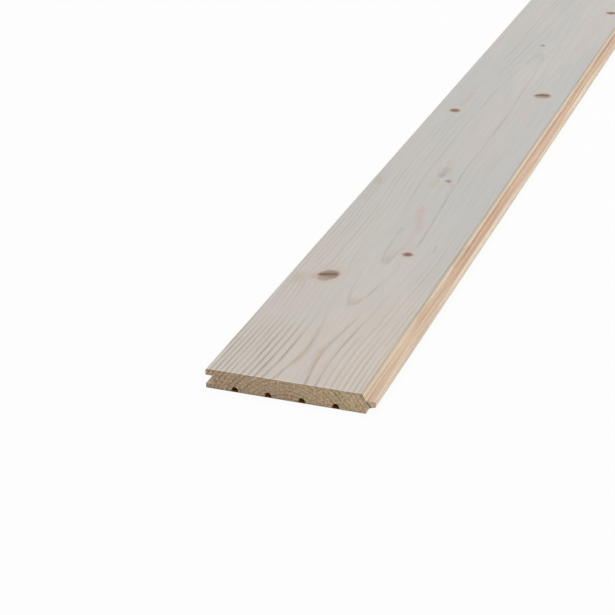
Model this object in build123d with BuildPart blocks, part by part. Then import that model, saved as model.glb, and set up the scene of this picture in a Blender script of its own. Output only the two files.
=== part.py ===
from build123d import *
from math import radians, tan
import os

# A planed softwood cladding board, lying on its grooved back with its face up.
# X runs across the board from the groove side to the tongue side, Y along it, Z up through it.
# The origin is in the middle of the back, at the centre of the overall box.

# Board sizes, in millimetres
length = 2000.0            # sold length, square-cut at both ends
thickness = 14.0
cover_width = 114.0        # width that the board covers once it is laid
tongue_length = 7.0        # the tongue stands this far past the covered width

# The edge groove and the tongue that fits it
upper_lip = 4.5            # wood above the groove
lower_lip = 3.3            # wood below the groove
lip_setback = 0.3          # the lower lip stops this far short of the upper one
tip_clearance = 0.4        # from the tongue's tip to the bottom of the groove
side_clearance = 0.15      # between the tongue and each lip
face_gap = 0.2             # open joint at the foot of the V
back_gap = 0.3             # open joint at the back
tongue_taper = 17.0        # slope of the tongue's underside, in degrees

# The V joint in the face
bevel_width = 2.4          # on the tongue side, from the face down to the tongue
lip_chamfer = 0.9          # on the groove side's upper arris

# Small radii that the cutters leave
tip_radius = 0.6
floor_radius = 0.5
lip_radius = 0.3

# Round-topped relief grooves along the back
relief_count = 4
relief_pitch = 24.0
relief_width = 5.2
relief_depth = 3.5

overall_width = cover_width + tongue_length
groove_top = thickness - upper_lip
tongue_top = groove_top - side_clearance
tongue_root = lower_lip + side_clearance


def across(x):
    """A distance from the upper lip's edge, as a place on X."""
    return x - overall_width / 2


# Places on X where the section turns
upper_edge = across(0)
lower_edge = across(lip_setback)
groove_floor = across(tongue_length + tip_clearance)
bevel_foot = across(cover_width - face_gap)
shoulder = across(cover_width + lip_setback - back_gap)
tip = across(overall_width)
tip_bottom = tongue_root + (tip - shoulder) * tan(radians(tongue_taper))

# The section's corners, clockwise from the face's arris on the groove side
corners = {
    "face_left": (upper_edge + lip_chamfer, thickness),
    "face_right": (bevel_foot - bevel_width, thickness),
    "bevel_foot": (bevel_foot, tongue_top),
    "tip_upper": (tip, tongue_top),
    "tip_lower": (tip, tip_bottom),
    "tongue_foot": (shoulder, tongue_root),
    "back_right": (shoulder, 0),
    "back_left": (lower_edge, 0),
    "lower_lip": (lower_edge, lower_lip),
    "floor_lower": (groove_floor, lower_lip),
    "floor_upper": (groove_floor, groove_top),
    "upper_lip": (upper_edge, groove_top),
    "chamfer_foot": (upper_edge, thickness - lip_chamfer),
}

# Each rounded corner takes at most its share of the wall that it is on
tongue_tip_radius = min(tip_radius, 0.45 * (tongue_top - tip_bottom))
groove_floor_radius = min(floor_radius, 0.45 * (groove_top - lower_lip))
upper_lip_radius = min(lip_radius, 0.45 * (upper_lip - lip_chamfer))
lower_lip_radius = min(lip_radius, 0.45 * lower_lip)
radii = {
    "tip_upper": tongue_tip_radius,
    "tip_lower": tongue_tip_radius,
    "floor_lower": groove_floor_radius,
    "floor_upper": groove_floor_radius,
    "upper_lip": upper_lip_radius,
    "lower_lip": lower_lip_radius,
}


def vertex_at(sketch, name):
    """The sketch's vertex at a named corner of the section."""
    corner = Vector(*corners[name])
    return min(sketch.vertices(), key=lambda vertex: (Vector(*vertex) - corner).length)


with BuildPart() as cladding_board:
    with BuildSketch(Plane.XZ) as section:
        with BuildLine():
            Polyline(*corners.values(), close=True)
        make_face()
        for name, radius in radii.items():
            fillet(vertex_at(section.sketch_local, name), radius)
        # The relief grooves stand about the middle of the covered width
        with Locations((across(cover_width / 2), relief_depth - relief_width / 2)):
            with GridLocations(relief_pitch, 0, relief_count, 1):
                Circle(relief_width / 2, mode=Mode.SUBTRACT)
                Rectangle(relief_width, relief_depth, align=(Align.CENTER, Align.MAX), mode=Mode.SUBTRACT)
    extrude(amount=length / 2, both=True)

cladding_board.part.label = "cladding_board"

os.makedirs("parts", exist_ok=True)
export_step(cladding_board.part, "parts/cladding_board.step")
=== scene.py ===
# %% [markdown]
# # A planed tongue-and-groove cladding board
#
# The object is one length of softwood wall cladding. It lies on its grooved back with its planed face up.
# Its shape comes from the CAD model. This notebook gives it eased arrises, wood all the way through, sawn
# ends, a floor, a light and a camera. First it loads the CAD model, and keeps the box that it fills.

# %% Load the CAD model
from math import atan2, cos, pi, radians, sin, tan

import bpy
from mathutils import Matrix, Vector


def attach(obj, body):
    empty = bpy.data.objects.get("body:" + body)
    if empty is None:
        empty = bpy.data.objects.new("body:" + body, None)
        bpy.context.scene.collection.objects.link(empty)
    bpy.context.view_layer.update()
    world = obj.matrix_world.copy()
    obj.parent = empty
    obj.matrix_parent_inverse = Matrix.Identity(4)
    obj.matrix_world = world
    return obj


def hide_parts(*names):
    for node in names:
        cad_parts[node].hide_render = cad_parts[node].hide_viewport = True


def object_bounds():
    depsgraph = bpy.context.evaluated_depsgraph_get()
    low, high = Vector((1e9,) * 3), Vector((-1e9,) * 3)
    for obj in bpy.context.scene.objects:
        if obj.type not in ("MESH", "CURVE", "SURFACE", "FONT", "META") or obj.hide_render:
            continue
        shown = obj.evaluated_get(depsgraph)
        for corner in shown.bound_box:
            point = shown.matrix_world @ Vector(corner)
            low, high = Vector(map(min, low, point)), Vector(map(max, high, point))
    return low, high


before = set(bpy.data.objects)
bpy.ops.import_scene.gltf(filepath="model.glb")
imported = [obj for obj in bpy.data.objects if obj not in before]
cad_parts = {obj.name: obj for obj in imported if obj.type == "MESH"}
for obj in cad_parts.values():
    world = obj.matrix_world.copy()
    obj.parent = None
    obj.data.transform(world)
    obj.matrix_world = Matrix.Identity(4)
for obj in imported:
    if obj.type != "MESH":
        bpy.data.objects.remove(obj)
cad_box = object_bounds()
print("CAD box, in metres:", [tuple(round(v, 4) for v in corner) for corner in cad_box])

# %% [markdown]
# ## The camera
#
# The camera looks down at 25 degrees over the near end of the board, from its right-hand side. The lens is
# long, so the two long edges draw together only slowly. Its place, its turn and its lens were worked out
# from the board's own corners, by asking which camera puts them where they are in the picture. A camera
# could also be aimed with a constraint, but plain numbers keep it still when the board is changed.

# %% Camera
camera_data = bpy.data.cameras.new("camera")
camera_data.sensor_width = 36.0
camera_data.lens = 106.455
camera_data.clip_end = 60.0
camera = bpy.data.objects.new("camera", camera_data)
camera.location = (0.36779, -2.01098, 0.57482)
camera.rotation_euler = (radians(90 - 25.1786), 0, radians(19.3467))
bpy.context.scene.collection.objects.link(camera)
bpy.context.scene.camera = camera
bpy.context.scene.view_settings.view_transform = "Standard"
print("camera lens:", camera_data.lens, "mm")

# %% [markdown]
# ## Helpers for node trees
#
# Every material and every Geometry Nodes tree below is built by the script. Adding each node and each link
# by hand takes many lines, so one small class does it: it adds a node, sets its values and joins its
# inputs, and hands back the output that the next node needs.

# %% A helper that adds and joins nodes
class Tree:
    """Adds nodes to a node tree. An input may be given a number, a vector or another node's output."""

    def __init__(self, tree):
        self.tree = tree

    def add(self, kind, inputs=None, out=0, **settings):
        node = self.tree.nodes.new(kind)
        for name, value in settings.items():
            setattr(node, name, value)
        for name, value in (inputs or {}).items():
            self.join(value, node.inputs[name])
        return node.outputs[out] if len(node.outputs) else node

    def join(self, value, socket):
        if isinstance(value, bpy.types.NodeSocket):
            self.tree.links.new(value, socket)
        else:
            socket.default_value = value

    def math(self, operation, *values, clamp=False):
        return self.add("ShaderNodeMath", dict(enumerate(values)), operation=operation, use_clamp=clamp)

    def vector(self, operation, *values, out=0):
        return self.add("ShaderNodeVectorMath", dict(enumerate(values)), out=out, operation=operation)

    def ramp(self, value, start, end, low=0.0, high=1.0, smooth=True):
        """Goes from low to high while value goes from start to end, and stays there outside."""
        inputs = {0: value, 1: start, 2: end, 3: low, 4: high}
        kind = "SMOOTHSTEP" if smooth else "LINEAR"
        return self.add("ShaderNodeMapRange", inputs, interpolation_type=kind, clamp=True)

    def scale(self, colour, amount):
        """A colour or a vector times an amount, which may differ from point to point."""
        result = self.vector("SCALE", colour)
        self.join(amount, result.node.inputs["Scale"])
        return result

    def blend(self, factor, first, second, how="MIX"):
        """Mixes two colours."""
        inputs = {0: factor, 6: first, 7: second}
        return self.add("ShaderNodeMix", inputs, out=2, data_type="RGBA", blend_type=how)


def tint(red, green, blue):
    """A colour read off a screen, 0 to 255, as the linear colour that Blender works in."""
    shares = [level / 255 for level in (red, green, blue)]
    linear = [v / 12.92 if v <= 0.04045 else ((v + 0.055) / 1.055) ** 2.4 for v in shares]
    return (*linear, 1.0)


def emptied(owner):
    """A Tree on the nodes of a material or a world, with none left in it."""
    owner.use_nodes = True
    owner.node_tree.nodes.clear()
    return Tree(owner.node_tree)


print("mid grey is", [round(v, 3) for v in tint(128, 128, 128)])

# %% [markdown]
# ## The floor
#
# The board lies on a plain white floor that runs out of sight. A real white sheet would need a lot of light
# to photograph white, and that light would bleach the board too. Instead most of what the camera sees of
# the floor is a plain white glow, which lights nothing, and the rest is an ordinary matt surface, which
# keeps the board's own soft shadow. For every other ray the floor is that matt surface alone, so it bounces
# light up at the board as a real one does. Under the board there is no glow, and the floor there is a dark
# brown, a painted shade: otherwise the relief grooves in the back would shine like little windows, and in
# real life hardly any light gets in there.

# %% Floor
def white_for_the_camera(tree):
    """One for the rays that show the background: seen directly, mirrored or through glass."""
    rays = tree.add("ShaderNodeLightPath").node
    seen = tree.math("ADD", rays.outputs["Is Camera Ray"], rays.outputs["Is Glossy Ray"])
    return tree.math("ADD", seen, rays.outputs["Is Transmission Ray"], clamp=True)


def under_the_board(tree):
    """One on the part of the floor that the board's back covers, and nothing elsewhere."""
    lip_step, tongue = 0.0003, 0.007
    back_left, back_right = cad_box[0][0] + lip_step, cad_box[1][0] - tongue
    half_length = cad_box[1][1]
    spot = tree.add("ShaderNodeSeparateXYZ", {0: tree.add("ShaderNodeTexCoord", out="Object")}).node.outputs
    aside = tree.math("ABSOLUTE", tree.math("SUBTRACT", spot["X"], (back_left + back_right) / 2))
    covered_across = tree.math("LESS_THAN", aside, (back_right - back_left) / 2)
    covered_along = tree.math("LESS_THAN", tree.math("ABSOLUTE", spot["Y"]), half_length)
    return tree.math("MULTIPLY", covered_across, covered_along)


# The dark brown under the board is a painted shade, seen inside the relief grooves.
glow_part, matt_white, painted_groove_shade = 0.93, (0.86, 0.86, 0.85, 1), (0.25, 0.115, 0.02, 1)
floor_finish = bpy.data.materials.new("matt white floor")
paint = emptied(floor_finish)
covered = under_the_board(paint)
open_floor = paint.math("SUBTRACT", 1.0, covered)
seen_glow = paint.math("MULTIPLY", white_for_the_camera(paint), glow_part)
glow_share = paint.math("MULTIPLY", seen_glow, open_floor)
matt_colour = paint.blend(covered, matt_white, painted_groove_shade)
matt = paint.add("ShaderNodeBsdfDiffuse", {"Color": matt_colour})
glow = paint.add("ShaderNodeEmission", {"Color": (1, 1, 1, 1), "Strength": 1.0})
shown = paint.add("ShaderNodeMixShader", {0: glow_share, 1: matt, 2: glow})
paint.add("ShaderNodeOutputMaterial", {"Surface": shown})

floor_mesh = bpy.data.meshes.new("floor")
reach, under = 14.0, -0.0002
floor_corners = [(x * reach, y * reach, under) for x, y in ((-1, -1), (1, -1), (1, 1), (-1, 1))]
floor_mesh.from_pydata(floor_corners, [], [(0, 1, 2, 3)])
floor_mesh.materials.append(floor_finish)
floor = bpy.data.objects.new("floor", floor_mesh)
bpy.context.scene.collection.objects.link(floor)
print("floor:", 2 * reach, "m square")

# %% [markdown]
# ## The light
#
# The board is lit as in a studio: one very wide soft lamp overhead, a weaker one from the front right,
# and an even pale surround. The planed face looks straight up, so it gets the most light. The sawn end
# faces the camera and gets most of its light from the surround and from the floor, which is why it is the
# darker side. The front lamp brightens the bevel and the tongue, which look to the right. One small lamp
# would be simpler, but its shadow is hard and dark, and the real one is soft. The strengths are set so
# that a face-up surface shows about the colour that its material is given.

# %% Lamps and surround
def soft_lamp(name, place, aim, size, watts, colour):
    """A square lamp at a place, aimed at a point. Its size is in metres."""
    data = bpy.data.lights.new(name, "AREA")
    data.shape, data.size, data.energy, data.color = "SQUARE", size, watts, colour
    lamp = bpy.data.objects.new(name, data)
    lamp.location = place
    lamp.rotation_euler = (Vector(aim) - Vector(place)).to_track_quat("-Z", "Y").to_euler()
    bpy.context.scene.collection.objects.link(lamp)
    return lamp


overhead = soft_lamp(
    "overhead lamp", place=(0.3, 0.4, 3.2), aim=(0, 0.1, 0), size=4.0, watts=68.0, colour=(1.0, 0.99, 0.975)
)
front_lamp = soft_lamp(
    "front lamp", place=(3.2, -3.0, 1.7), aim=(0, -0.6, 0), size=2.0, watts=30.0, colour=(1.0, 0.98, 0.95)
)

surround = bpy.data.worlds.new("surround")
air = emptied(surround)
dim = air.add("ShaderNodeBackground", {"Color": (0.96, 0.98, 1.0, 1), "Strength": 0.46})
white = air.add("ShaderNodeBackground", {"Color": (1, 1, 1, 1), "Strength": 1.0})
both = air.add("ShaderNodeMixShader", {0: white_for_the_camera(air), 1: dim, 2: white})
air.add("ShaderNodeOutputWorld", {"Surface": both})
bpy.context.scene.world = surround
print("lamps:", overhead.name, "and", front_lamp.name)

# %% [markdown]
# ## The board's section
#
# A cladding board is planed by a row of cutters that runs its whole length, so every cross-cut through it
# is the same. That makes the section the one drawing that matters. These are the same sizes as in the CAD
# model, in millimetres, and the corners go round the section clockwise, starting at the face on the
# groove side. Each corner also has the radius of its arris: a planed arris is never perfectly sharp,
# because it is eased so that it doesn't splinter and holds paint. The outline could be read back from the
# CAD mesh, but written out as sizes it is easier to follow and to change.

# %% Sizes of the section
length = 2000.0
thickness = 14.0
cover_width, tongue_length = 114.0, 7.0
upper_lip, lower_lip, lip_setback = 4.5, 3.3, 0.3
tip_clearance, side_clearance, face_gap, back_gap = 0.4, 0.15, 0.2, 0.3
tongue_taper = 17.0
bevel_width, lip_chamfer = 2.4, 0.9
relief_count, relief_pitch, relief_width, relief_depth = 4, 24.0, 5.2, 3.5

overall_width = cover_width + tongue_length
groove_top = thickness - upper_lip
tongue_top = groove_top - side_clearance
tongue_root = lower_lip + side_clearance
groove_floor = tongue_length + tip_clearance
bevel_foot = cover_width - face_gap
shoulder = cover_width + lip_setback - back_gap
tip_bottom = tongue_root + (overall_width - shoulder) * tan(radians(tongue_taper))
print("section:", overall_width, "by", thickness, "mm")

# %% Corners of the section
chamfer_ease, bevel_ease, edge_ease = 0.25, 0.35, 0.3
tip_ease, groove_fillet, slot_ease, slot_top = 0.6, 0.5, 0.2, relief_width / 2
corners = [
    (lip_chamfer, thickness, chamfer_ease),
    (bevel_foot - bevel_width, thickness, bevel_ease),
    (bevel_foot, tongue_top, edge_ease),
    (overall_width, tongue_top, tip_ease),
    (overall_width, tip_bottom, tip_ease),
    (shoulder, tongue_root, edge_ease),
    (shoulder, 0, edge_ease),
]
for number in reversed(range(relief_count)):
    middle = cover_width / 2 + (number - (relief_count - 1) / 2) * relief_pitch
    left, right = middle - relief_width / 2, middle + relief_width / 2
    corners += [(right, 0, slot_ease), (right, relief_depth, slot_top)]
    corners += [(left, relief_depth, slot_top), (left, 0, slot_ease)]
corners += [
    (lip_setback, 0, edge_ease),
    (lip_setback, lower_lip, edge_ease),
    (groove_floor, lower_lip, groove_fillet),
    (groove_floor, groove_top, groove_fillet),
    (0, groove_top, edge_ease),
    (0, thickness - lip_chamfer, chamfer_ease),
]
print("corners:", len(corners))

# %% [markdown]
# ## Rounding the corners
#
# A corner with a radius turns into a short arc. The arc starts where the straight side touches the circle
# and ends where the next side leaves it, and the distance from the corner to both is radius times the
# tangent of half the turn. The same rule draws the relief grooves on the back: a groove is a rectangular
# slot whose two upper corners have a radius of half its width, so the two arcs meet and make its round
# top. A Bevel modifier could ease the edges of the finished mesh, but it would need a weight for every
# edge, and here each corner simply has its own radius.

# %% The outline, with every arris eased
arc_step, same_point = radians(11), 1e-4


def round_corner(before, corner, after):
    """Points of the arc that replaces one corner, in at least three steps."""
    centre, radius = Vector(corner[:2]), corner[2]
    back = (Vector(before[:2]) - centre).normalized()
    ahead = (Vector(after[:2]) - centre).normalized()
    half = back.angle(ahead) / 2
    touch = radius / tan(half)
    hub = centre + (back + ahead).normalized() * radius / sin(half)
    start, end = centre + back * touch - hub, centre + ahead * touch - hub
    turn = start.angle_signed(end)
    steps = max(3, round(abs(turn) / arc_step))
    first = atan2(start.y, start.x)
    angles = [first - turn * k / steps for k in range(steps + 1)]
    return [hub + Vector((cos(angle), sin(angle))) * radius for angle in angles]


outline, on_arc = [], []
for number, corner in enumerate(corners):
    arc = round_corner(corners[number - 1], corner, corners[(number + 1) % len(corners)])
    if outline and (arc[0] - outline[-1]).length < same_point:
        arc, on_arc[-1] = arc[1:], True
    outline += arc
    on_arc += [True] * (len(arc) - 1) + [False]
around = [0.0]
for number, point in enumerate(outline):
    around.append(around[-1] + (outline[(number + 1) % len(outline)] - point).length)
print("outline:", len(outline), "points,", round(around[-1], 1), "mm round")

# %% [markdown]
# ## Drawing the section along the length
#
# A main shape that follows a rule suits Geometry Nodes. The rule here is the planer's: the section is drawn
# along a straight line. The object's own mesh is the bare outline. The tree makes it a closed curve, makes
# a line as long as the board, divides it into steps, and sweeps the outline along it with both ends filled.
# The length and the number of steps are named inputs, so another sold length needs one changed number. An
# extrusion in Edit Mode would give the same shape, but it couldn't be changed afterwards.

# %% The tree that planes the board
def planer_tree():
    tree = bpy.data.node_groups.new("plane the board", "GeometryNodeTree")
    wanted_inputs = {
        "Section": "Geometry", "Length": "Float", "Steps": "Int",
        "Long sides": "Material", "Sawn ends": "Material",
    }
    for name, kind in wanted_inputs.items():
        tree.interface.new_socket(name, in_out="INPUT", socket_type="NodeSocket" + kind)
    tree.interface.new_socket("Board", in_out="OUTPUT", socket_type="NodeSocketGeometry")
    nodes = Tree(tree)
    given = nodes.add("NodeGroupInput").node.outputs
    half = nodes.math("MULTIPLY", given["Length"], 0.5)
    far_end = nodes.add("ShaderNodeCombineXYZ", {"Y": half})
    near_end = nodes.scale(far_end, -1.0)
    line = nodes.add("GeometryNodeCurvePrimitiveLine", {"Start": near_end, "End": far_end})
    count = nodes.math("ADD", given["Steps"], 1.0)
    path = nodes.add("GeometryNodeResampleCurve", {"Curve": line, "Count": count})
    section = nodes.add("GeometryNodeMeshToCurve", {"Mesh": given["Section"]})
    swept = nodes.add("GeometryNodeCurveToMesh", {"Curve": path, "Profile Curve": section, "Fill Caps": True})
    solid = nodes.add("GeometryNodeRealizeInstances", {"Geometry": swept})
    planed = nodes.add("GeometryNodeSetMaterial", {"Geometry": solid, "Material": given["Long sides"]})
    facing = nodes.add("ShaderNodeSeparateXYZ", {0: nodes.add("GeometryNodeInputNormal")}, out="Y")
    square_on = 0.9
    is_end = nodes.math("GREATER_THAN", nodes.math("ABSOLUTE", facing), square_on)
    end_inputs = {"Geometry": planed, "Selection": is_end, "Material": given["Sawn ends"]}
    sawn = nodes.add("GeometryNodeSetMaterial", end_inputs)
    nodes.add("NodeGroupOutput", {"Board": sawn})
    return tree


planer = planer_tree()
print("planer tree:", len(planer.nodes), "nodes")

# %% [markdown]
# ## From the outline to a mesh
#
# The board has two kinds of surface, planed along the grain and sawn across it. The sweep needs a
# material for each, so both are made here, empty, and are filled in further down. Then the tree runs
# once, and its result is kept as a plain mesh. With a live modifier the board would look the same, but
# the script couldn't mark its edges or lay out its map.

# %% Two empty materials
planed_wood = bpy.data.materials.new("planed spruce")
sawn_wood = bpy.data.materials.new("sawn spruce end")
planed, sawn = emptied(planed_wood), emptied(sawn_wood)
print("materials:", planed_wood.name, "and", sawn_wood.name)

# %% The board, made a plain mesh
section_mesh = bpy.data.meshes.new("section outline")
# The sweep turns the outline over, so it goes in upside down.
ring = [((point.x - overall_width / 2) / 1000, -point.y / 1000, 0) for point in outline]
section_mesh.from_pydata(ring, [(k, (k + 1) % len(ring)) for k in range(len(ring))], [])
section_mesh.attributes.new("outline_number", "INT", "POINT").data.foreach_set("value", range(len(ring)))
section = bpy.data.objects.new("section outline", section_mesh)
bpy.context.scene.collection.objects.link(section)
sweep = section.modifiers.new("plane the board", "NODES")
sweep.node_group = planer
steps_along = 40
wanted = {"Length": length / 1000, "Steps": steps_along, "Long sides": planed_wood, "Sawn ends": sawn_wood}
for socket in planer.interface.items_tree:
    if socket.name in wanted:
        sweep[socket.identifier] = wanted[socket.name]
section.update_tag()
ready = section.evaluated_get(bpy.context.evaluated_depsgraph_get())
board_mesh = bpy.data.meshes.new_from_object(ready)
board_mesh.name = "cladding board"
section.modifiers.clear()
bpy.data.objects.remove(section)
print("board:", len(board_mesh.polygons), "faces in", [finish.name for finish in board_mesh.materials])

# %% [markdown]
# ## Smooth arcs and flat sides
#
# On a rounded arris the light has to change smoothly, and on a flat side it must not change at all. Smooth
# shading does the first and spoils the second, because it bends the light near every edge of a flat side.
# So all faces are smooth, and each long edge where a flat side meets an arc is marked sharp, which keeps
# the two apart. Each point of the swept mesh still carries its number on the outline, so the script knows
# which edge is which.

# %% Marking the sharp edges
count = len(outline)
numbers = [0] * len(board_mesh.vertices)
board_mesh.attributes["outline_number"].data.foreach_get("value", numbers)
board_mesh.polygons.foreach_set("use_smooth", [len(face.vertices) == 4 for face in board_mesh.polygons])
sharp, half_metres, hair = [], length / 2000, 1e-6
for edge in board_mesh.edges:
    first, second = (numbers[k] for k in edge.vertices)
    at_end = all(abs(abs(board_mesh.vertices[k].co.y) - half_metres) < hair for k in edge.vertices)
    sharp.append(at_end or (first == second and not (on_arc[first] and on_arc[first - 1])))
board_mesh.attributes["sharp_edge"].data.foreach_set("value", sharp)
print("sharp edges:", sum(sharp), "of", len(sharp))

# %% [markdown]
# ## A map for baking
#
# The wood below needs no map, because it is worked out from each point's place in the board. A picture of
# the finished wood does need one: a flat layout of the whole surface in a square. A board 2 m long and
# 0.3 m round fills a square badly in one piece, so it is cut in two lengths that lie one above the other.
# The face gets wider rows than the edges and the back, because people look at it most, and the two sawn
# ends get large places of their own, because their grain is fine. Blender can lay out a map by itself,
# with Smart UV Project, but it doesn't know which side people look at.

# %% Laying out the map
face_share, edge_share, back_share = 1.0, 0.6, 0.35
face_from, back_up_to = thickness - lip_chamfer - 0.2, relief_depth + 0.05
back_left, back_right = groove_floor + 1, shoulder - 0.3


def row_share(number):
    """How much width on the map each millimetre of this strip gets."""
    middle = (outline[number] + outline[(number + 1) % count]) / 2
    if middle.y > face_from:
        return face_share
    on_back = middle.y < back_up_to and back_left < middle.x < back_right
    return back_share if on_back else edge_share


rows = [0.0]
for number in range(count):
    rows.append(rows[-1] + (around[number + 1] - around[number]) * row_share(number))
end_height, gap, end_margin, side_margin = 0.075, 0.004, 0.01, 0.003
half_height = (1 - 2 * end_height - 4 * gap) / 2
places = []
for face in board_mesh.polygons:
    middle = face.center
    if len(face.vertices) > 4:
        base = 2 * (half_height + gap) + (middle.y > 0) * (end_height + gap)
        for k in face.vertices:
            spot = board_mesh.vertices[k].co
            across = end_margin + (1 - 2 * end_margin) * (spot.x * 1000 / overall_width + 0.5)
            places += [across, base + end_height * spot.z * 1000 / thickness]
        continue
    near = middle.y < 0
    wraps = {numbers[k] for k in face.vertices} == {0, count - 1}
    for k in face.vertices:
        spot, number = board_mesh.vertices[k].co, numbers[k]
        row = rows[count] if wraps and number == 0 else rows[number]
        along = spot.y * 1000 / (length / 2) + (1 if near else 0)
        base = 0 if near else half_height + gap
        places += [side_margin + (1 - 2 * side_margin) * along, base + half_height * row / rows[-1]]
board_mesh.uv_layers.new(name="OFBake").data.foreach_set("uv", places)
print("map: face rows", round(half_height * 1024 / rows[-1], 2), "pixels a millimetre at 1024")

# %% [markdown]
# ## Where a point lies in the wood
#
# Wood isn't a picture on a surface. Its rings, knots and fibres run right through, so the same ring shows
# as a line on the face, as a line on the bevel and as an arc on the sawn end. The material therefore starts
# from the place of each point inside the board, in millimetres: X from the groove-side edge, Y from the
# near end and Z from the back. Three small node groups are made first: the place, a knot and a streak of
# resin.

# %% Helpers for node groups
def shader_group(name, inputs, outputs):
    """A new node group, with a Tree for its nodes and the sockets that it is given."""
    tree = bpy.data.node_groups.new(name, "ShaderNodeTree")
    for side, sockets in (("INPUT", inputs), ("OUTPUT", outputs)):
        for socket, kind in sockets.items():
            tree.interface.new_socket(socket, in_out=side, socket_type="NodeSocket" + kind)
    nodes = Tree(tree)
    return nodes, nodes.add("NodeGroupInput").node.outputs if inputs else None


def use(nodes, made, **inputs):
    """Puts a node group into a tree and returns its outputs."""
    node = nodes.tree.nodes.new("ShaderNodeGroup")
    node.node_tree = made.tree
    for name, value in inputs.items():
        nodes.join(value, node.inputs[name])
    return node.outputs


def noise(nodes, place, scale, detail=2.0, roughness=0.5):
    """Soft random values, 0 to 1. The scale says how many blotches there are to a millimetre each way."""
    stretched = nodes.vector("MULTIPLY", place, scale)
    values = {"Vector": stretched, "Scale": 1.0, "Detail": detail, "Roughness": roughness}
    return nodes.add("ShaderNodeTexNoise", values)


def wander(nodes, place, scale, detail, span):
    """Noise about nought, from minus half the span to plus half of it."""
    return nodes.math("MULTIPLY_ADD", noise(nodes, place, scale, detail), span, -span / 2)


print("helpers:", ", ".join(helper.__name__ for helper in (shader_group, use, noise, wander)))

# %% The place in the board
place_in_board, _ = shader_group("place in the board", {}, {"Place": "Vector"})
object_place = place_in_board.add("ShaderNodeTexCoord", out="Object")
to_corner = (overall_width / 2, length / 2, 0)
in_mm = place_in_board.vector("MULTIPLY_ADD", object_place, (1000, 1000, 1000), to_corner)
place_in_board.add("NodeGroupOutput", {"Place": in_mm})
print("group:", place_in_board.tree.name)

# %% [markdown]
# ## Knots
#
# A knot is the foot of a branch that the trunk grew round. It is a thin cone that leans through the
# board, so it shows on the face and, a little smaller and moved over, on the back. A knot that is painted
# on the face alone would be missing there. The group measures how near a point is to the branch's axis,
# in branch radii: under 1 is inside the knot. The fibres and rings of the trunk flow round the branch
# like water round a post. The rule for such a flow is short: each point takes the fibre that it would
# have without the post, moved sideways by its offset times the square of radius over distance. Here the
# power is a little over two, which keeps the bulge close to the knot. The group gives that shift too.

# %% The knot group
knot, given = shader_group(
    "knot",
    {"Place": "Vector", "Centre": "Vector", "Lean": "Vector", "Radius": "Float"},
    {"Nearness": "Float", "Shift": "Float"},
)
taper_reach, taper, bulge_power = 20, 0.16, 2.4
offset = knot.vector("SUBTRACT", given["Place"], given["Centre"])
along_branch = knot.vector("DOT_PRODUCT", offset, given["Lean"], out=1)
axis_point = knot.scale(given["Lean"], along_branch)
aside = knot.vector("SUBTRACT", offset, axis_point)
thickening = knot.ramp(along_branch, -taper_reach, taper_reach, 1 - taper, 1 + taper, smooth=False)
branch_radius = knot.math("MULTIPLY", given["Radius"], thickening)
nearness = knot.math("DIVIDE", knot.vector("LENGTH", aside, out=1), branch_radius)
sideways = knot.add("ShaderNodeSeparateXYZ", {0: aside}, out="X")
weight = knot.math("POWER", knot.math("MAXIMUM", nearness, 1.0), -bulge_power)
knot.add("NodeGroupOutput", {"Nearness": nearness, "Shift": knot.math("MULTIPLY", sideways, weight)})
print("group:", knot.tree.name)

# %% [markdown]
# ## Streaks
#
# Resin and pitch collect in long thin pockets, and rub off as pink or brown streaks. A streak is
# everything near a straight line between two points, faded at its sides and broken up along its length.
# It could be painted by hand on a picture, but a line with two ends is easier to move.

# %% The streak group
streak, given = shader_group(
    "streak", {"Place": "Vector", "From": "Vector", "To": "Vector", "Width": "Float"}, {"Amount": "Float"}
)
run = streak.vector("SUBTRACT", given["To"], given["From"])
offset = streak.vector("SUBTRACT", given["Place"], given["From"])
run_squared = streak.vector("DOT_PRODUCT", run, run, out=1)
share = streak.math("DIVIDE", streak.vector("DOT_PRODUCT", offset, run, out=1), run_squared, clamp=True)
nearest = streak.scale(run, share)
apart = streak.vector("LENGTH", streak.vector("SUBTRACT", offset, nearest), out=1)
patches = noise(streak, given["Place"], (0.5, 0.09, 0.5), 3.0)
ragged = streak.ramp(patches, 0.3, 0.7, 0.4, 1.5, smooth=False)
reach_out = streak.math("DIVIDE", apart, streak.math("MULTIPLY", given["Width"], ragged))
streak.add("NodeGroupOutput", {"Amount": streak.ramp(reach_out, 1.3, 0.0)})
print("group:", streak.tree.name)

# %% [markdown]
# ## Growth rings
#
# The board was sawn beside the heart of the tree. Seen from the end, its rings are arcs round the pith,
# which runs under the back. A Wave Texture can draw such rings, but only round a straight line, and then
# the face would have nothing but straight stripes. A real pith isn't straight: it rises and falls, and
# wanders sideways, as the tree grew. Where it comes nearest to the face, the face cuts fewer rings, and
# each ring that it touches ends in a V or a U. That alone draws the arches of the grain, so the rule
# needs only two curves: how far across the pith lies, and how deep it is under the face, at each place
# along the board. The first 430 mm of both curves were measured from the grain in the picture. The rest
# was made up in the same style.

# %% The pith's path
pith_across = {
    0: 59.7, 47: 60.1, 99: 61.2, 132: 60.9, 209: 61.5, 256: 61.6, 281: 61.2, 310: 60.2,
    340: 58.5, 380: 56.0, 430: 54.6, 500: 54.6,
    640: 55.6, 790: 57.5, 960: 61, 1180: 63.2, 1400: 60, 1620: 56.4, 1820: 58, 2000: 61,
}
pith_depth = {
    0: 37.2, 20: 37.95, 47: 38.5, 74: 38.35, 99: 37.75, 132: 36.3, 168: 34.9,
    209: 33.5, 256: 32.85, 281: 33.1, 310: 33.35, 340: 33.25, 380: 32.85, 430: 33.0, 500: 32.8,
    610: 33.4, 740: 35.7, 860: 38.2, 940: 38.9, 1030: 38.3, 1150: 36.2,
    1290: 33.4, 1420: 32.0, 1540: 32.7, 1680: 35.1, 1800: 37.4, 1890: 38.4, 2000: 37.9,
}
fine_until, change_over = 500, (360, 420)


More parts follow.
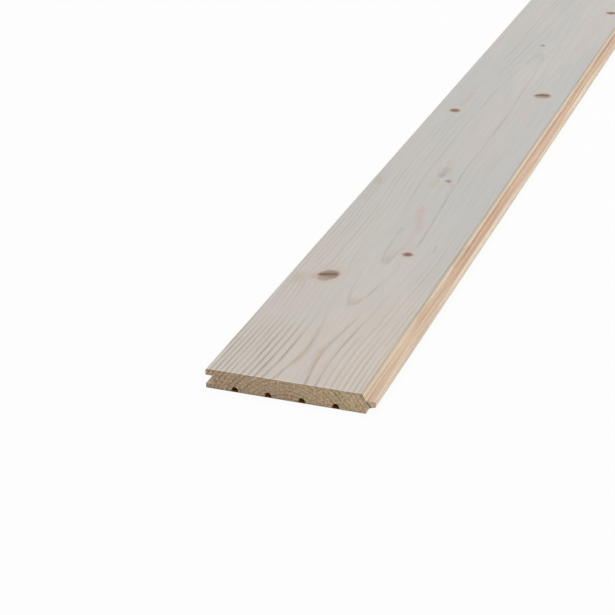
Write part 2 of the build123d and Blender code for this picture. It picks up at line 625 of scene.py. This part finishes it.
def smooth_line(nodes, along, stations, last, low, high):
    """A Float Curve through the stations up to the last one, in millimetres."""
    node = nodes.add("ShaderNodeFloatCurve", {"Value": nodes.math("DIVIDE", along, last)}).node
    curve = node.mapping.curves[0]
    spots = [(y / last, (value - low) / (high - low)) for y, value in stations.items() if y <= last]
    curve.points[0].location, curve.points[-1].location = spots[0], spots[-1]
    for spot in spots[1:-1]:
        curve.points.new(*spot)
    node.mapping.update()
    return nodes.math("MULTIPLY_ADD", node.outputs[0], high - low, low)


def follow(nodes, along, stations, low, high):
    """A value that changes smoothly along the board. Blender stores a curve as 256 straight pieces.
    On 2 m they are long enough to see, so the first half metre has a finer curve of its own."""
    near = smooth_line(nodes, along, stations, fine_until, low, high)
    whole = smooth_line(nodes, along, stations, length, low, high)
    change = nodes.ramp(along, *change_over)
    return nodes.add("ShaderNodeMix", {0: change, 2: near, 3: whole}, data_type="FLOAT")


print("pith stations:", len(pith_across), "and", len(pith_depth))

# %% [markdown]
# ## Where the knots are
#
# A branch may come out anywhere, so the knots are a plain list: the place on the face, how far the branch
# leans for each millimetre that it rises, and its radius. Random places would look as natural, but the
# first three have to be where the picture has them.

# %% The board's knots
knots = [
    ((28.8, 173.2), (0.24, 1.05), 7.6),
    ((74.2, 230.7), (0.15, 0.35), 4.2),
    ((62.8, 391.8), (-0.40, 1.05), 2.8),
    ((19.5, 572.0), (-0.25, 0.42), 5.2),
    ((88.0, 641.0), (0.30, 0.45), 7.4),
    ((52.0, 803.0), (-0.15, 0.78), 3.0),
    ((96.5, 947.0), (0.28, 0.40), 5.6),
    ((33.0, 1078.0), (-0.28, 0.44), 8.2),
    ((70.5, 1196.0), (0.18, 0.72), 3.4),
    ((45.0, 1395.0), (-0.10, 0.40), 5.0),
    ((92.0, 1468.0), (0.32, 0.54), 8.6),
    ((24.0, 1689.0), (-0.22, 0.42), 4.2),
    ((66.0, 1842.0), (0.16, 0.40), 6.3),
]
print("knots:", len(knots))

# %% [markdown]
# ## The ring group
#
# Each year the tree adds a pale layer in spring and a thin dark layer, the latewood, in summer. The
# distance from the pith, counted in years, gives the year of each point. Its fraction is the time of
# year: the wood darkens towards the end of the year and starts pale again at once. A sine wave would be
# simpler, but it fades in and out alike, and a real ring ends sharply. A little noise keeps the rings
# from being perfect circles. How strongly each year shows is left to the two materials.

# %% Rings that flow round the knots
rings, given = shader_group(
    "spruce rings",
    {"Place": "Vector"},
    {"Flow": "Vector", "Years": "Float", "Latewood": "Float", "Nearness": "Float"},
)
parts = rings.add("ShaderNodeSeparateXYZ", {0: given["Place"]}).node.outputs
flow_x, nearest_knot = parts["X"], 1000.0
for (x, y), (lean_x, lean_y), radius in knots:
    lean = Vector((lean_x, lean_y, 1)).normalized()
    found = use(rings, knot, Place=given["Place"], Centre=(x, y, thickness), Lean=tuple(lean), Radius=radius)
    flow_x = rings.math("SUBTRACT", flow_x, found["Shift"])
    nearest_knot = rings.math("MINIMUM", nearest_knot, found["Nearness"])
flow = rings.add("ShaderNodeCombineXYZ", {"X": flow_x, "Y": parts["Y"], "Z": parts["Z"]})
from_pith = rings.math("SUBTRACT", flow_x, follow(rings, parts["Y"], pith_across, low=50, high=70))
depth = follow(rings, parts["Y"], pith_depth, low=25, high=45)
above_pith = rings.math("ADD", rings.math("SUBTRACT", parts["Z"], thickness), depth)
squares = [rings.math("MULTIPLY", side, side) for side in (from_pith, above_pith)]
distance = rings.math("SQRT", rings.math("ADD", *squares))
broad = wander(rings, flow, (0.03, 0.007, 0.03), 1.0, 0.7)
fine = wander(rings, flow, (0.3, 0.022, 0.3), 2.0, 0.5)
grown = rings.math("ADD", distance, rings.math("ADD", broad, fine))
first_ring, year_width = 39.38, 2.85
years = rings.math("DIVIDE", rings.math("SUBTRACT", grown, first_ring), year_width)
left_of_year = rings.math("SUBTRACT", 1.0, rings.math("FRACT", years))
to_edge = rings.math("MULTIPLY", left_of_year, year_width)
slant = rings.math("DIVIDE", rings.math("ABSOLUTE", from_pith), distance)
late_width = rings.ramp(slant, 0.10, 0.6, 0.8, 1.6)
darkening = rings.ramp(rings.math("DIVIDE", to_edge, late_width), 1.0, 0.15)
latewood = rings.math("MULTIPLY", darkening, rings.ramp(to_edge, 0.0, 0.2, 0.25, 1.0))
results = {"Flow": flow, "Years": years, "Latewood": latewood, "Nearness": nearest_knot}
rings.add("NodeGroupOutput", results)
print("group:", rings.tree.name, "with", len(rings.tree.nodes), "nodes")

# %% [markdown]
# ## The planed wood's ground tone
#
# Fresh spruce is pale, and looks grey-white with a touch of pink. The colour is laid on in the order in
# which a painter would: the ground tone, the rings, the fibres, then the stains and the knots. It could
# all be one long chain of nodes, but each step is easier to follow in a cell of its own. The wood is
# warmer near the sawn end and greyer further along, and a paler strip along its near arris is a painted
# highlight. Each colour is a plain one, chosen beside the picture.

# %% Ground tone
place = use(planed, place_in_board)["Place"]
wood = use(planed, rings, Place=place)
flow = wood["Flow"]
parts = planed.add("ShaderNodeSeparateXYZ", {0: place}).node.outputs
flow_x = planed.add("ShaderNodeSeparateXYZ", {0: flow}, out="X")

grey_tone, warm_tone = tint(194, 192, 188), tint(209, 199, 188)
pink_tone, arris_highlight_tone = tint(203, 191, 187), tint(219, 205, 193)
drift = wander(planed, place, (0.016, 0.0032, 0.02), 1.0, 0.9)
warmth = planed.math("ADD", planed.ramp(parts["Y"], 380, 5, 0.08, 0.78), drift, clamp=True)
blush = planed.ramp(noise(planed, place, (0.024, 0.006, 0.02), 1.0), 0.48, 0.75, 0, 0.5)
face_tone = planed.blend(blush, planed.blend(warmth, grey_tone, warm_tone), pink_tone)
# A paler strip along the near arris, where the face meets the sawn end: a painted highlight.
near_arris_highlight = planed.ramp(parts["Y"], 2.8, 0.4, 0, 0.85)
face_tone = planed.blend(near_arris_highlight, face_tone, arris_highlight_tone)
print("ground tone made:", len(planed.tree.nodes), "nodes")

# %% [markdown]
# ## The tones of the edges
#
# The tongue, the groove and the bevel are cut deeper than the face. Everything below the face plane is a
# mix of a warm tan and a pale cream, in bands that run with the fibres. The upper part of the bevel, the
# outer part of the tongue and everything lower than the tongue's top, the back included, are mostly cream,
# and tan shows most where the bevel meets the tongue. On the tongue's tip side, which faces the front lamp,
# that cream is partly a painted highlight. A soft darker line follows the arris between the face and the
# bevel. Each strip could have a material of its own, but then its tone would change with a hard line, and
# here one tone melts into the next.

# %% Tones below the face
tan_tone, cream_tone, arris_line_tone = tint(203, 168, 143), tint(234, 219, 195), (0.83, 0.77, 0.70, 1)
bands = planed.ramp(noise(planed, flow, (0.75, 0.005, 0.75), 2.0), 0.36, 0.64, -0.25, 0.6)
high_on_edge = planed.ramp(parts["Z"], tongue_top + 1.15, thickness - 2)
# Cream below the tongue's top; on the tongue's tip side, which faces the front lamp, this is partly a painted
# highlight.
low_cream_and_tip_highlight = planed.ramp(parts["Z"], tongue_top - 0.15, tongue_top - 0.65, 0, 0.9)
far_out = planed.ramp(parts["X"], shoulder + 3.5, overall_width - 1, 0, 0.55)
paler = planed.math("MAXIMUM", planed.math("MAXIMUM", high_on_edge, low_cream_and_tip_highlight), far_out)
cream_share = planed.math("ADD", bands, paler, clamp=True)
edge_tone = planed.blend(cream_share, tan_tone, cream_tone)
below_face = planed.ramp(parts["Z"], thickness - 0.04, thickness - 0.45)
colour = planed.blend(below_face, face_tone, edge_tone)
bevel_top = (bevel_foot - bevel_width, 0, thickness)
in_section = planed.vector("MULTIPLY", place, (1, 0, 1))
from_arris = planed.vector("DISTANCE", in_section, bevel_top, out=1)
# Darker along the arris between the face and the bevel.
arris_shade = planed.ramp(from_arris, 1.8, 0.5)
colour = planed.blend(arris_shade, colour, arris_line_tone, "MULTIPLY")
print("edge tones laid on:", len(planed.tree.nodes), "nodes")

# %% [markdown]
# ## The strength of the rings
#
# The rings are there everywhere, but on a planed face they don't show alike, and with one strength for
# all of them the board would look printed. Near the sawn end they are strong on the groove side and
# fainter on the tongue side, and beyond a hand's width they nearly fade away. Two rings by the heart of
# the board show best: they draw together like the waist of an hourglass, with a rusty tinge. Beyond it
# come two faint arches and a long line. So each year has a chance strength, a slow noise gives a strength
# for each part of the board, and the rings that can be told apart in the picture get one by their number.
# The strongest of these wins, and a quicker noise breaks the lines up along their length.

# %% Rings laid on
def year_and_chance(nodes, years):
    """The number of a point's year, and a random value, 0 to 1, that the whole year shares."""
    number = nodes.math("FLOOR", years)
    return number, nodes.add("ShaderNodeTexWhiteNoise", {"W": number}, noise_dimensions="1D")


year_number, year_chance = year_and_chance(planed, wood["Years"])
field = planed.ramp(noise(planed, flow, (0.03, 0.0042, 0.03), 1.0), 0.36, 0.68, 0.08, 0.46)
groove_side = planed.math("MULTIPLY", planed.ramp(parts["Y"], 124, 40), planed.ramp(flow_x, 60, 42))
tongue_side = planed.math("MULTIPLY", planed.ramp(parts["Y"], 120, 40, 0, 0.55), planed.ramp(flow_x, 64, 76))


def one_ring(number, start, end, amount):
    """Extra strength for one year's ring, fading from a place along the board to another."""
    is_this = planed.math("COMPARE", year_number, float(number), 0.5)
    return planed.math("MULTIPLY", is_this, planed.ramp(parts["Y"], start, end, 0, amount))


heart_ring = one_ring(-1, 128, 70, 0.8)
right_half = planed.ramp(flow_x, 64, 70)
beside_heart = planed.math("MULTIPLY", one_ring(0, 128, 80, 0.7), right_half)
far_halves = planed.math("MAXIMUM", right_half, planed.ramp(parts["Y"], 290, 330, 0, 0.6))
far_line = planed.math("MULTIPLY", one_ring(-2, 236, 256, 0.5), far_halves)
first_arch = planed.math("MULTIPLY", one_ring(-2, 112, 124, 0.42), planed.ramp(parts["Y"], 215, 150))
second_arch = planed.math("MULTIPLY", one_ring(-3, 190, 205, 0.36), planed.ramp(parts["Y"], 290, 235))
strength = planed.math("MULTIPLY", field, planed.ramp(year_chance, 0, 1, 0.3, 1.0))
for other in (groove_side, tongue_side, heart_ring, beside_heart, far_line, first_arch, second_arch):
    strength = planed.math("MAXIMUM", strength, other)
broken = planed.ramp(noise(planed, flow, (0.35, 0.016, 0.35), 2.0), 0.32, 0.6, 0.35, 1.0)
late = planed.math("MULTIPLY", wood["Latewood"], planed.math("MULTIPLY", strength, broken))
early_tint, late_tint, rust_tint = (1.012, 1.012, 1.012, 1), (0.64, 0.565, 0.49, 1), (1.08, 0.92, 0.78, 1)
colour = planed.blend(1.0, colour, planed.blend(late, early_tint, late_tint), "MULTIPLY")
rusty = planed.math("MULTIPLY", planed.ramp(parts["Y"], 66, 48, 0, 0.8), planed.ramp(parts["Y"], 14, 32, 0.3))
rusty = planed.math("MULTIPLY", planed.math("MULTIPLY", wood["Latewood"], heart_ring), rusty)
colour = planed.blend(1.0, colour, planed.blend(rusty, (1, 1, 1, 1), rust_tint), "MULTIPLY")
print("rings laid on:", len(planed.tree.nodes), "nodes")

# %% [markdown]
# ## Fibres
#
# Between the rings the wood is a bundle of long pale tubes. The knife cuts them open at slightly
# different depths, so the face has soft streaks a few centimetres long, very fine ones between them, and
# tiny dark dashes where a resin canal is cut. All three are noise that is stretched along the fibres, and
# they follow the flow round the knots. A photograph of wood has such fibres too, but on 2 m of board it
# would have to repeat, and noise never does.

# %% Fibres laid on
soft_streaks = noise(planed, flow, (0.28, 0.012, 0.28), 2.0)
broad_fibre = noise(planed, flow, (0.9, 0.012, 0.9), 3.0, 0.6)
fine_fibre = noise(planed, flow, (3.6, 0.06, 3.6), 2.0, 0.6)
brightness = 0.78
for share, source in ((0.12, soft_streaks), (0.20, broad_fibre), (0.14, fine_fibre)):
    brightness = planed.math("MULTIPLY_ADD", source, share, brightness)
canals = planed.ramp(noise(planed, flow, (2.4, 0.11, 2.4), 2.0), 0.64, 0.76, 1.0, 0.88)
colour = planed.scale(colour, planed.math("MULTIPLY", brightness, canals))
print("fibres laid on:", len(planed.tree.nodes), "nodes")

# %% [markdown]
# ## Stains
#
# These are the marks in the picture that nothing else explains: a long soft pink streak of resin with its
# pale foot at the second knot, a pale tail at the first, and smudges by the third. Further along, where
# the picture doesn't reach, there are a few more of the same kind. Noise makes stains as well, but not in
# chosen places, so each of these runs from a point to a point on the face, with a width, a colour and a
# strength.

# %% Stains laid on
pink, pale_pink = tint(200, 179, 173), tint(204, 190, 184)
rust, grey_brown, dark_spot = tint(199, 184, 165), tint(172, 165, 158), tint(150, 143, 137)
moss, faint_tan, knot_edge = tint(186, 187, 169), tint(190, 176, 160), tint(178, 162, 150)
stains = [
    ((74.0, 236), (67.7, 265), 4.4, pale_pink, 0.75),
    ((67.7, 265), (64.3, 278), 4.0, pale_pink, 0.6),
    ((61.5, 250), (58.3, 268), 3.0, pale_pink, 0.5),
    ((69.3, 276), (67.7, 287), 3.8, pink, 0.55),
    ((67.7, 287), (62.7, 303), 4.6, pink, 0.6),
    ((62.7, 303), (59.0, 320), 4.6, pink, 0.65),
    ((59.0, 320), (58.3, 328), 4.0, pink, 0.65),
    ((54.6, 270), (55.2, 279), 3.4, grey_brown, 0.35),
    ((63.2, 391), (68.2, 383), 4.8, pink, 0.7),
    ((50.0, 441), (54.0, 427), 4.6, rust, 0.45),
    ((53.5, 421), (53.7, 407), 5.6, grey_brown, 0.65),
    ((53.4, 403), (53.6, 400), 3.4, dark_spot, 0.5),
    ((53.6, 391), (53.4, 376), 4.6, moss, 0.65),
    ((3.6, 380), (7.6, 371), 6.0, faint_tan, 0.6),
    ((9.0, 168), (8.6, 158), 6.4, faint_tan, 0.6),
    ((19.9, 168.5), (19.9, 171.5), 5.2, knot_edge, 0.75),
    ((91.9, 240), (91.3, 254), 1.1, grey_brown, 0.5),
    ((20.5, 590), (23.5, 628), 3.6, pink, 0.7),
    ((87.0, 622), (84.0, 560), 4.4, pale_pink, 0.7),
    ((70.5, 1203), (66.0, 1262), 4.2, pink, 0.8),
    ((58.0, 1010), (58.8, 1042), 3.4, rust, 0.6),
    ((92.0, 1452), (89.0, 1398), 4.6, pale_pink, 0.7),
    ((38.0, 1545), (39.0, 1580), 3.6, grey_brown, 0.5),
    ((66.5, 1852), (62.0, 1915), 4.2, pink, 0.7),
]
for start, end, width, stain, opacity in stains:
    ends = {"From": (*start, thickness), "To": (*end, thickness)}
    amount = use(planed, streak, Place=place, Width=width, **ends)["Amount"]
    colour = planed.blend(planed.math("MULTIPLY", amount, opacity), colour, stain)
print("stains:", len(stains))

# %% [markdown]
# ## Each knot's own values
#
# The knots stand apart along the board, so the place along the board is enough to tell which knot a point
# belongs to. A Color Ramp with flat steps turns that place into three numbers, and these can be a colour
# as well as a place. Each knot could have nodes of its own instead, but this way one small tree paints
# all of them, each from its own values.

# %% Values for each knot
def of_each_knot(nodes, along, values):
    """Three numbers for each knot, chosen by the place along the board."""
    node = nodes.add("ShaderNodeValToRGB", {"Fac": nodes.math("DIVIDE", along, length)}).node
    node.color_ramp.interpolation = "CONSTANT"
    stops = node.color_ramp.elements
    ys = [y for (x, y), lean, radius in knots]
    starts = [0.0] + [(a + b) / 2 / length for a, b in zip(ys, ys[1:])]
    for number, (start, value) in enumerate(zip(starts, values)):
        stop = stops[number] if number < 2 else stops.new(start)
        stop.position, stop.color = start, (*value[:3], 1.0)
    return node.outputs["Color"]


brown = (tint(113, 81, 56), tint(150, 131, 113), tint(173, 151, 135))
reddish = (tint(106, 71, 59), tint(148, 120, 106), tint(166, 141, 127))
plum = (tint(137, 128, 133), tint(163, 154, 157), tint(182, 174, 173))
kinds = [brown, reddish, plum, reddish, brown, plum, reddish, brown, reddish, brown, brown, plum, reddish]
shades = [of_each_knot(planed, parts["Y"], [kind[k] for kind in kinds]) for k in range(3)]
dark_shade, middle_shade, light_shade = shades
sizes = [(x / length, y / length, radius / length) for (x, y), lean, radius in knots]
where = planed.vector("MULTIPLY", of_each_knot(planed, parts["Y"], sizes), (length, length, length))
where = planed.add("ShaderNodeSeparateXYZ", {0: where}).node.outputs
across_knot = planed.math("DIVIDE", planed.math("SUBTRACT", parts["X"], where["X"]), where["Z"])
along_knot = planed.math("DIVIDE", planed.math("SUBTRACT", parts["Y"], where["Y"]), where["Z"])
print("kinds of knot:", len({id(kind) for kind in kinds}))

# %% [markdown]
# ## The knots' colour
#
# A large live knot has a dark seam of bark or resin across it, grey-brown wood above and lighter tan wood
# below. A small one has just a dark heart. Both have fine rings of their own and fade softly into the
# pale wood, with a warm halo round them. A plain dark disc would look like a hole, so each of these parts
# is laid on in turn, from three shades.

# %% Knots laid on
ragged = wander(planed, place, (0.22, 0.22, 0.22), 2.0, 0.4)
nearness = planed.math("ADD", wood["Nearness"], ragged)
wobble = wander(planed, place, (0.2, 0.2, 0.2), 2.0, 0.5)
over_seam = planed.math("ADD", planed.math("MULTIPLY_ADD", across_knot, -0.3, along_knot), wobble)
seam_height, small_knot, large_knot = 0.34, 5.0, 7.5
from_seam = planed.math("ABSOLUTE", planed.math("SUBTRACT", over_seam, seam_height))
seam = planed.ramp(planed.math("MULTIPLY_ADD", across_knot, 0.05, from_seam), 0.6, 0.08)
heart = planed.ramp(nearness, 0.85, 0.1)
is_large = planed.ramp(where["Z"], small_knot, large_knot)
darkest = planed.add("ShaderNodeMix", {0: is_large, 2: heart, 3: seam}, data_type="FLOAT")
shaded = planed.math("MULTIPLY_ADD", across_knot, 0.45, over_seam)
warmer, halo_tone = (1.0, 0.9, 0.78, 1), tint(205, 187, 173)
knot_colour = planed.blend(planed.ramp(shaded, -0.9, 0.2), light_shade, middle_shade)
knot_colour = planed.blend(darkest, knot_colour, dark_shade)
knot_colour = planed.blend(below_face, knot_colour, warmer, "MULTIPLY")
knot_rings = planed.math("FRACT", planed.math("MULTIPLY", nearness, 6.0))
knot_colour = planed.scale(knot_colour, planed.math("MULTIPLY_ADD", knot_rings, -0.10, 1.05))
knot_amount = planed.ramp(nearness, 1.16, 0.74)
halo = planed.ramp(nearness, 2.0, 1.0, 0, 0.5)
colour = planed.blend(halo, colour, halo_tone)
colour = planed.blend(knot_amount, colour, knot_colour)
print("knots laid on:", len(planed.tree.nodes), "nodes")

# %% [markdown]
# ## Gloss and relief
#
# Planed spruce has a low, silky gloss. Its latewood is harder than the wood between, so it stands a hair's
# breadth proud, and the planer's knives leave very shallow waves across the board. All of it is far too
# fine for the mesh, so it goes into the bump, with heights in millimetres.

# %% Gloss and relief of the planed wood
wave_pitch, wave_height, metre_per_mm = 1.8, 0.0012, 0.001
waves = planed.math("SINE", planed.math("MULTIPLY", parts["Y"], 2 * pi / wave_pitch))
relief = planed.math("MULTIPLY", waves, wave_height)
knot_grooves = planed.math("MULTIPLY", knot_amount, knot_rings)
for height, source in ((0.018, late), (0.03, fine_fibre), (0.03, broad_fibre), (-0.02, knot_grooves)):
    relief = planed.math("MULTIPLY_ADD", source, height, relief)
surface = planed.add("ShaderNodeBump", {"Height": relief, "Distance": metre_per_mm, "Strength": 0.7})
gloss = planed.math("MULTIPLY_ADD", broad_fibre, 0.14, 0.52)
gloss = planed.math("SUBTRACT", gloss, planed.math("MULTIPLY", knot_amount, 0.10))
skin_inputs = {"Base Color": colour, "Roughness": gloss, "Normal": surface, "Specular IOR Level": 0.32}
skin = planed.add("ShaderNodeBsdfPrincipled", skin_inputs)
planed.add("ShaderNodeOutputMaterial", {"Surface": skin})
print("planed wood:", len(planed.tree.nodes), "nodes")

# %% [markdown]
# ## The sawn ends
#
# A cross-cut opens the ends of all the fibres. They drink in light, so the end is darker and warmer than
# the face, and matt. The rings show as arcs about the pith, pale and dark in turn, with a finer ring
# within each year. They could be drawn as circles on the end alone, but they come from the same group as
# the lines on the face, so the two meet at the arris. At the tongue a dark line runs down from the bevel,
# and the wood beyond it is lighter.

# %% Rings on the sawn end
place = use(sawn, place_in_board)["Place"]
wood = use(sawn, rings, Place=place)
parts = sawn.add("ShaderNodeSeparateXYZ", {0: place}).node.outputs
left_tone, right_tone, olive_tone = tint(187, 160, 137), tint(199, 174, 144), tint(184, 168, 136)
colour = sawn.blend(sawn.ramp(parts["X"], 55, 100), left_tone, right_tone)
blotch = noise(sawn, place, (0.09, 0.02, 0.16), 2.0)
colour = sawn.blend(sawn.ramp(blotch, 0.35, 0.68, 0, 0.5), colour, olive_tone)
_, year_chance = year_and_chance(sawn, wood["Years"])
time_of_year = sawn.math("FRACT", wood["Years"])
late = sawn.math("MULTIPLY", sawn.ramp(time_of_year, 0.42, 0.92), sawn.ramp(year_chance, 0, 1, 0.45, 1.0))
within_year = sawn.math("FRACT", sawn.math("MULTIPLY", wood["Years"], 2.0))
late = sawn.math("MAXIMUM", late, sawn.math("MULTIPLY", sawn.ramp(within_year, 0.6, 0.96), 0.55))
calm_corner = (106.0, 0.0, 2.0)
from_calm_corner = sawn.vector("DISTANCE", place, calm_corner, out=1)
late = sawn.math("MULTIPLY", late, sawn.ramp(from_calm_corner, 7, 13, 0.45, 1.0))
early_tint, late_tint = (1.12, 1.12, 1.10, 1), (0.60, 0.53, 0.44, 1)
colour = sawn.blend(1.0, colour, sawn.blend(late, early_tint, late_tint), "MULTIPLY")

line_top, line_foot = Vector((110.4, 0, 14.2)), Vector((117.2, 0, 5.1))
slope = (line_foot - line_top).normalized()
from_top = sawn.vector("SUBTRACT", place, tuple(line_top))
past_line = sawn.vector("DOT_PRODUCT", from_top, (-slope.z, 0, slope.x), out=1)
tongue_tone, line_tone = tint(208, 188, 172), tint(126, 100, 72)
colour = sawn.blend(sawn.ramp(past_line, 0.1, 0.9, 0, 0.45), colour, tongue_tone)
on_line = sawn.ramp(sawn.math("ABSOLUTE", past_line), 0.65, 0.15, 0, 0.85)
colour = sawn.blend(on_line, colour, line_tone)
print("sawn end rings:", len(sawn.tree.nodes), "nodes")

# %% [markdown]
# ## Rays, pores and saw marks
#
# Fine rays run out from the pith, tiny pores lie between, and the saw leaves faint slanting scratches.
# Under the top arris the end is darker, in a slightly furry line. These give the end its grainy look,
# so each one changes the brightness, and the deeper ones go into the bump too.

# %% The finished sawn end
pith_below = pith_depth[0] - thickness
aside, above = sawn.math("SUBTRACT", parts["X"], pith_across[0]), sawn.math("ADD", parts["Z"], pith_below)
angle = sawn.math("ARCTAN2", aside, above)
ray_place = sawn.add("ShaderNodeCombineXYZ", {"X": angle, "Y": wood["Years"]})
rays = noise(sawn, ray_place, (60, 0.6, 1), 2.0)
mottle = noise(sawn, place, (0.62, 0.3, 0.75), 2.0, 0.6)
pores = noise(sawn, place, (2.4, 0.4, 2.4), 3.0, 0.65)
saw_slant = {"Vector": place, "Angle": radians(-24)}
scratch_place = sawn.add("ShaderNodeVectorRotate", saw_slant, rotation_type="Y_AXIS")
scratches = noise(sawn, scratch_place, (1.5, 0.2, 0.05), 2.0)
brightness = 1.0
for share, source in ((0.16, rays), (0.40, mottle), (0.34, pores), (0.10, scratches)):
    brightness = sawn.math("ADD", brightness, sawn.ramp(source, 0.3, 0.7, -share, share, smooth=False))
furry = sawn.math("MULTIPLY_ADD", noise(sawn, place, (0.9, 1.2, 0.3), 2.0), 1.6, 12.5)
under_arris = sawn.ramp(sawn.math("SUBTRACT", parts["Z"], furry), 0.0, 0.7, 1.0, 0.72)
colour = sawn.scale(colour, sawn.math("MULTIPLY", brightness, under_arris))
relief = 0.0
for height, source in ((0.10, pores), (0.06, scratches), (0.04, mottle), (0.02, late)):
    relief = sawn.math("MULTIPLY_ADD", source, height, relief)
surface = sawn.add("ShaderNodeBump", {"Height": relief, "Distance": metre_per_mm, "Strength": 0.8})
skin_inputs = {"Base Color": colour, "Roughness": 0.85, "Normal": surface, "Specular IOR Level": 0.2}
skin = sawn.add("ShaderNodeBsdfPrincipled", skin_inputs)
sawn.add("ShaderNodeOutputMaterial", {"Surface": skin})
print("sawn end:", len(sawn.tree.nodes), "nodes")

# %% [markdown]
# ## Handing over the board
#
# The finished board stands in for the CAD solid, which stays hidden for the physics. Both have the same
# coordinates, so nothing has to be moved.

# %% The board takes the CAD solid's place
board = bpy.data.objects.new("cladding_board_wood", board_mesh)
bpy.context.scene.collection.objects.link(board)
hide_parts("cladding_board")
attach(board, "root")
bpy.context.view_layer.update()
